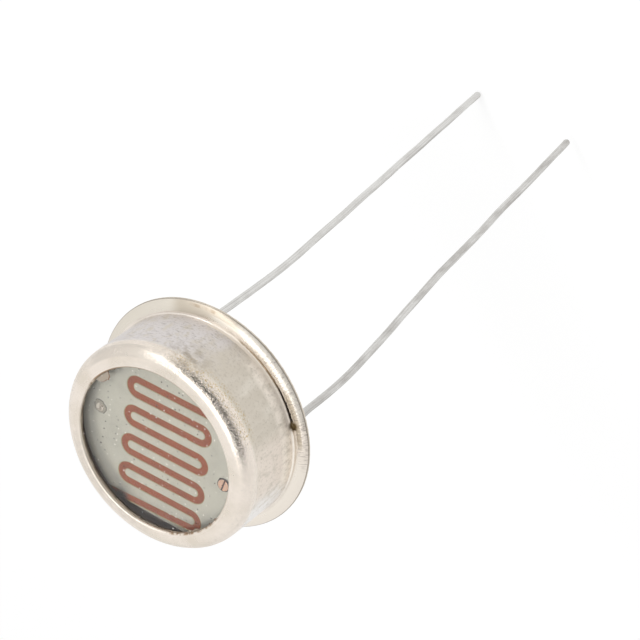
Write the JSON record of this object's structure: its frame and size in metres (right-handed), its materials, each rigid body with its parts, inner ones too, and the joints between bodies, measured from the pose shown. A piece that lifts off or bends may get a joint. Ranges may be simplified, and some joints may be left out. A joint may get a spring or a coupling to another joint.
{
  "type": "photoresistor",
  "caption": "Round metal-can photoresistor: a glass window over a meandering photoconductive track between comb electrodes, with long wire leads under a flanged base.",
  "frame": {"origin": "centre of the seating plane under the header", "axes": "+Z out of the window along the can's axis, +X along the line through the leads at the header"},
  "size_m": [0.014, 0.014, 0.0447],
  "materials": {
    "nickel_plate": "drawn steel, satin nickel plate",
    "window_glass": "polished",
    "sealant": "cured resin",
    "header_plate": "stamped steel, nickel plate",
    "seal_glass": "fused dark glass",
    "tinned_wire": "tinned, drawn",
    "contact_cement": "conductive cement",
    "ceramic": "fired, unglazed",
    "photoconductor": "sintered film",
    "electrode_film": "evaporated metal film"
  },
  "bodies": {
    "root": {"can": "nickel_plate", "window_glass": "window_glass", "window_seal": "sealant", "header": "header_plate", "bead_left": "seal_glass", "bead_right": "seal_glass", "lead_left": "tinned_wire", "lead_right": "tinned_wire", "contact_left": "contact_cement", "contact_right": "contact_cement", "ceramic_base": "ceramic", "photo_layer": "photoconductor", "electrode_left": "electrode_film", "electrode_right": "electrode_film"}
  },
  "joints": []
}
